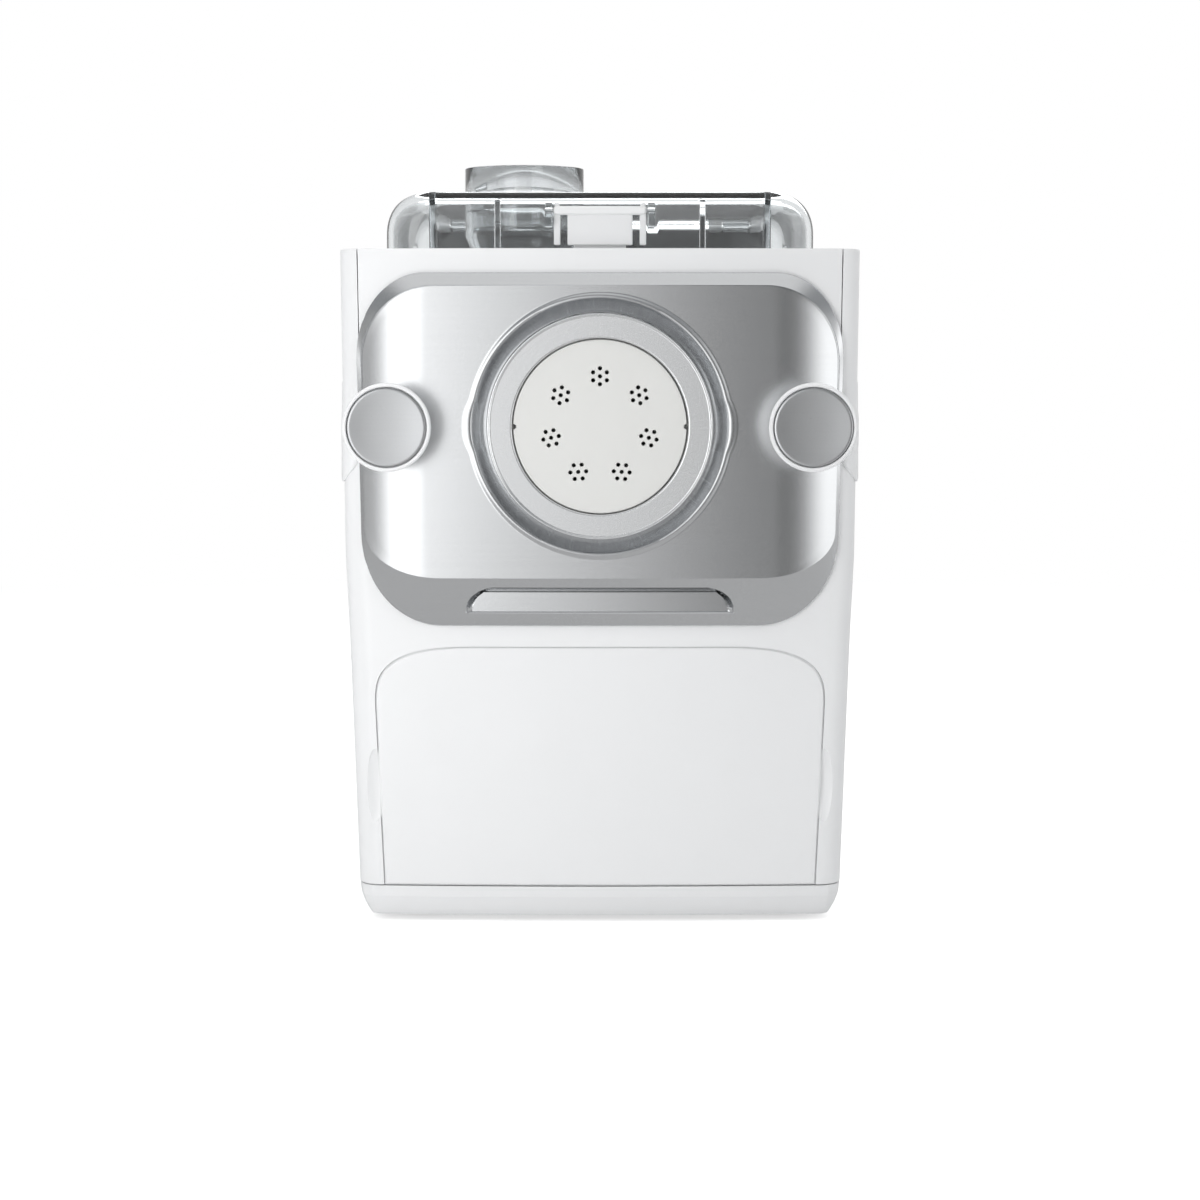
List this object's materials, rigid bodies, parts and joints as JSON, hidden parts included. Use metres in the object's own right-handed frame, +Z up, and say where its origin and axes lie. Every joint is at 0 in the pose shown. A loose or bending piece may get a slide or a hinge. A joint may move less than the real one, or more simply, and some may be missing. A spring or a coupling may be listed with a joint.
{
  "type": "electric pasta maker",
  "caption": "Free-standing electric pasta maker with a clear lid and inlet cup, mixing chamber, extruding screw, shaping disc, removable front with clamp knobs, and a drawer.",
  "frame": {"origin": "centre of the bounding box on the surface that the feet stand on", "axes": "+X to the right as seen from the front, +Y from the front to the back, +Z up"},
  "size_m": [0.241, 0.4, 0.3566],
  "materials": {
    "white_plastic": "satin white moulding",
    "off_white_plastic": "fine matt moulding",
    "silver_front": "satin silver with fine flakes",
    "clear_plastic": "clear polished",
    "steel": "brushed",
    "dark_plastic": "matt",
    "dark_gloss": "glossy",
    "rubber": "matt",
    "button_grey": "satin",
    "board_green": "matt"
  },
  "bodies": {
    "machine": {"housing_shell": "white_plastic", "base_tray": "white_plastic", "foot_front_left": "rubber", "foot_front_right": "rubber", "foot_rear_left": "rubber", "foot_rear_right": "rubber", "drawer_rail_left": "off_white_plastic", "drawer_rail_right": "off_white_plastic", "chassis": "steel", "front_bulkhead": "white_plastic", "left_clamp_nut": "steel", "right_clamp_nut": "steel", "mixing_chamber": "clear_plastic", "shaft_seal": "rubber", "gearbox_case": "dark_plastic", "shaft_bearing": "steel", "gearbox_cover": "dark_plastic", "idler_axle": "steel", "motor_body": "steel", "motor_cradle": "dark_plastic", "power_board": "board_green", "control_housing": "white_plastic", "control_panel": "dark_gloss", "display_window": "dark_gloss", "display_board": "board_green", "rear_cover": "white_plastic", "cord_inlet": "dark_plastic", "lid_hinge_pin_left": "steel", "lid_hinge_pin_right": "steel"},
    "lid": {"lid_shell": "clear_plastic", "latch_pin_left": "steel", "latch_pin_right": "steel"},
    "latch": {"latch_flap": "white_plastic"},
    "cup": {"inlet_cup": "clear_plastic"},
    "drawer": {"drawer_front": "white_plastic", "drawer_bin": "off_white_plastic"},
    "front": {"panel_carrier": "white_plastic", "front_plate": "silver_front", "shaping_disc": "off_white_plastic"},
    "ring": {"fixing_ring": "silver_front"},
    "left_clamp": {"left_knob": "white_plastic", "left_knob_cap": "silver_front", "left_clamp_screw": "steel"},
    "right_clamp": {"right_knob": "white_plastic", "right_knob_cap": "silver_front", "right_clamp_screw": "steel"},
    "drive": {"extruding_screw": "off_white_plastic", "mixing_paddle": "off_white_plastic", "drive_shaft": "steel", "output_gear": "off_white_plastic"},
    "idler": {"idler_pinion": "steel", "idler_gear": "off_white_plastic"},
    "rotor": {"motor_pinion": "steel", "motor_shaft": "steel", "motor_fan": "dark_plastic"},
    "power_key": {"power_button": "button_grey"},
    "program_key": {"program_button": "button_grey"},
    "flour_key": {"flour_button": "button_grey"},
    "time_key": {"time_button": "button_grey"},
    "start_key": {"start_button": "button_grey"}
  },
  "joints": [
    {"name": "lid_hinge", "type": "hinge", "parent": "machine", "child": "lid", "pos_m": [0, 0.0455, 0.338], "axis": [-1, 0, 0], "range_deg": [0, 95]},
    {"name": "latch_hinge", "type": "hinge", "parent": "lid", "child": "latch", "pos_m": [0, -0.1563, 0.33075], "axis": [-1, 0, 0], "range_deg": [0, 35], "stiffness_Nm_per_rad": 0.02},
    {"name": "cup_lift", "type": "slide", "parent": "lid", "child": "cup", "axis": [0, 0, 1], "range_m": [0, 0.05]},
    {"name": "drawer_slide", "type": "slide", "parent": "machine", "child": "drawer", "axis": [0, -1, 0], "range_m": [0, 0.17]},
    {"name": "front_pull", "type": "slide", "parent": "machine", "child": "front", "axis": [0, -1, 0], "range_m": [0, 0.08]},
    {"name": "ring_turn", "type": "hinge", "parent": "front", "child": "ring", "pos_m": [0, -0.184, 0.232], "axis": [0, 1, 0], "range_deg": [0, 90]},
    {"name": "left_knob_turn", "type": "hinge", "parent": "front", "child": "left_clamp", "pos_m": [-0.0957, -0.2, 0.232], "axis": [0, 1, 0], "range_deg": [0, 180]},
    {"name": "right_knob_turn", "type": "hinge", "parent": "front", "child": "right_clamp", "pos_m": [0.0957, -0.2, 0.232], "axis": [0, 1, 0], "range_deg": [0, 180]},
    {"name": "drive_spin", "type": "hinge", "parent": "machine", "child": "drive", "pos_m": [0, 0.05, 0.232], "axis": [0, 1, 0], "continuous": true},
    {"name": "idler_spin", "type": "hinge", "parent": "machine", "child": "idler", "pos_m": [0, 0.05, 0.17775], "axis": [0, 1, 0], "continuous": true},
    {"name": "rotor_spin", "type": "hinge", "parent": "machine", "child": "rotor", "pos_m": [0, 0.05, 0.12975], "axis": [0, 1, 0], "continuous": true},
    {"name": "power_press", "type": "slide", "parent": "machine", "child": "power_key", "axis": [0, 0, -1], "range_m": [0, 0.0012], "stiffness_N_per_m": 400},
    {"name": "program_press", "type": "slide", "parent": "machine", "child": "program_key", "axis": [0, 0, -1], "range_m": [0, 0.0012], "stiffness_N_per_m": 400},
    {"name": "flour_press", "type": "slide", "parent": "machine", "child": "flour_key", "axis": [0, 0, -1], "range_m": [0, 0.0012], "stiffness_N_per_m": 400},
    {"name": "time_press", "type": "slide", "parent": "machine", "child": "time_key", "axis": [0, 0, -1], "range_m": [0, 0.0012], "stiffness_N_per_m": 400},
    {"name": "start_press", "type": "slide", "parent": "machine", "child": "start_key", "axis": [0, 0, -1], "range_m": [0, 0.0012], "stiffness_N_per_m": 400}
  ],
  "couplings": [
    {"joint": "idler_spin", "follows": "drive_spin", "ratio": -3.4286},
    {"joint": "rotor_spin", "follows": "drive_spin", "ratio": 12.245}
  ]
}
